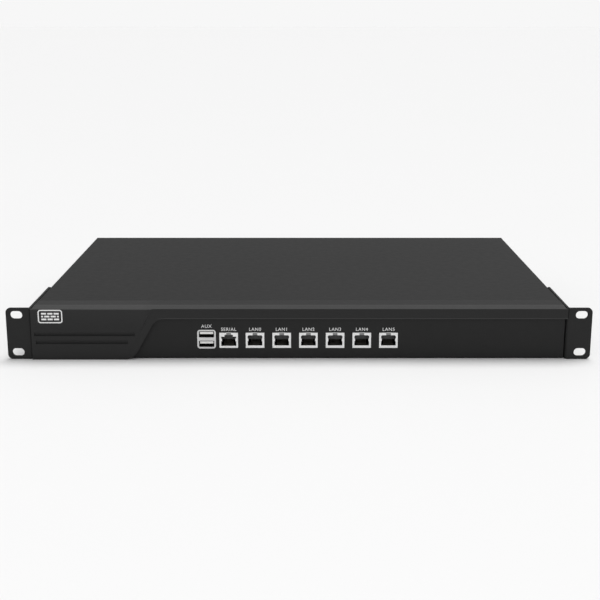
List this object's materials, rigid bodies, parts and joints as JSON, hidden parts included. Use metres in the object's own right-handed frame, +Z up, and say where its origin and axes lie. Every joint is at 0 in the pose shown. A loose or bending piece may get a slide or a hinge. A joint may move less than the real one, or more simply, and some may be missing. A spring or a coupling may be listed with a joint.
{
  "type": "firewall appliance",
  "caption": "One-unit rack firewall appliance: flat black steel case with ears, sculpted bezel, stacked USB, serial and network jacks, rear fans, inlet and rocker.",
  "frame": {"origin": "middle of the footprint, on the surface that the case stands on", "axes": "+X to the right as seen from the port side, +Y to the back, +Z up; the ports face -Y"},
  "size_m": [0.4826, 0.307, 0.044],
  "materials": {
    "case_coat": "fine black powder coat",
    "cover_coat": "fine dark grey-black powder coat",
    "panel_coat": "matte black powder coat",
    "ear_coat": "matte black powder coat",
    "bezel_black": "fine-textured moulded black",
    "black_screw": "black oxide",
    "zinc_screw": "zinc plated",
    "zinc_sheet": "galvanised sheet",
    "brass_part": "turned",
    "board_green": "solder mask",
    "board_tan": "bare laminate",
    "chip_black": "moulded package",
    "jack_black": "moulded",
    "white_plastic": "moulded",
    "capacitor_sleeve": "shrink sleeve",
    "bare_aluminium": "extruded",
    "transformer_tape": "polyester tape",
    "gold_contact": "gold plated",
    "shield_steel": "tin plated",
    "drive_shell": "brushed",
    "nickel_pin": "nickel plated",
    "rocker_black": "moulded",
    "guard_wire": "chromed wire",
    "fan_black": "glass-filled, moulded",
    "rotor_black": "moulded"
  },
  "bodies": {
    "case": {"base_tray": "case_coat", "bezel": "bezel_black", "bezel_screws": "zinc_screw", "board_capacitors": "capacitor_sleeve", "board_screws": "zinc_screw", "board_standoffs": "brass_part", "cover_screws": "black_screw", "drive_bracket": "zinc_sheet", "ear_left": "ear_coat", "ear_nuts": "zinc_screw", "ear_right": "ear_coat", "ear_screws": "black_screw", "earth_screw": "brass_part", "fan_frame_1": "fan_black", "fan_frame_2": "fan_black", "fan_frame_3": "fan_black", "fan_guards": "guard_wire", "fan_screws": "black_screw", "heat_sink": "bare_aluminium", "inlet_pins": "nickel_pin", "jack_contacts": "gold_contact", "lan_insert_0": "jack_black", "lan_insert_1": "jack_black", "lan_insert_2": "jack_black", "lan_insert_3": "jack_black", "lan_insert_4": "jack_black", "lan_insert_5": "jack_black", "lan_shield_0": "shield_steel", "lan_shield_1": "shield_steel", "lan_shield_2": "shield_steel", "lan_shield_3": "shield_steel", "lan_shield_4": "shield_steel", "lan_shield_5": "shield_steel", "main_board": "board_green", "memory_module": "board_green", "memory_socket": "jack_black", "network_chips": "chip_black", "port_panel": "panel_coat", "power_header": "white_plastic", "power_inlet": "jack_black", "processor": "chip_black", "rear_panel": "case_coat", "serial_insert": "jack_black", "serial_shield": "shield_steel", "storage_drive": "drive_shell", "supply_board": "board_tan", "supply_capacitors": "capacitor_sleeve", "supply_heat_sinks": "bare_aluminium", "supply_screws": "zinc_screw", "supply_standoffs": "brass_part", "supply_transformer": "transformer_tape", "switch_frame": "jack_black", "top_cover": "cover_coat", "usb_contacts": "gold_contact", "usb_shell": "shield_steel", "usb_tongues": "white_plastic"},
    "rocker": {"power_rocker": "rocker_black"},
    "rotor_1": {"fan_rotor_1": "rotor_black"},
    "rotor_2": {"fan_rotor_2": "rotor_black"},
    "rotor_3": {"fan_rotor_3": "rotor_black"}
  },
  "joints": [
    {"name": "fan_1_spin", "type": "hinge", "parent": "case", "child": "rotor_1", "pos_m": [-0.174, 0.1356, 0.02165], "axis": [0, 1, 0], "continuous": true},
    {"name": "fan_2_spin", "type": "hinge", "parent": "case", "child": "rotor_2", "pos_m": [-0.122, 0.1356, 0.02165], "axis": [0, 1, 0], "continuous": true},
    {"name": "fan_3_spin", "type": "hinge", "parent": "case", "child": "rotor_3", "pos_m": [-0.07, 0.1356, 0.02165], "axis": [0, 1, 0], "continuous": true},
    {"name": "power_rocker_tilt", "type": "hinge", "parent": "case", "child": "rocker", "pos_m": [0.152, 0.1472, 0.022], "axis": [1, 0, 0], "range_deg": [0, 20]}
  ]
}
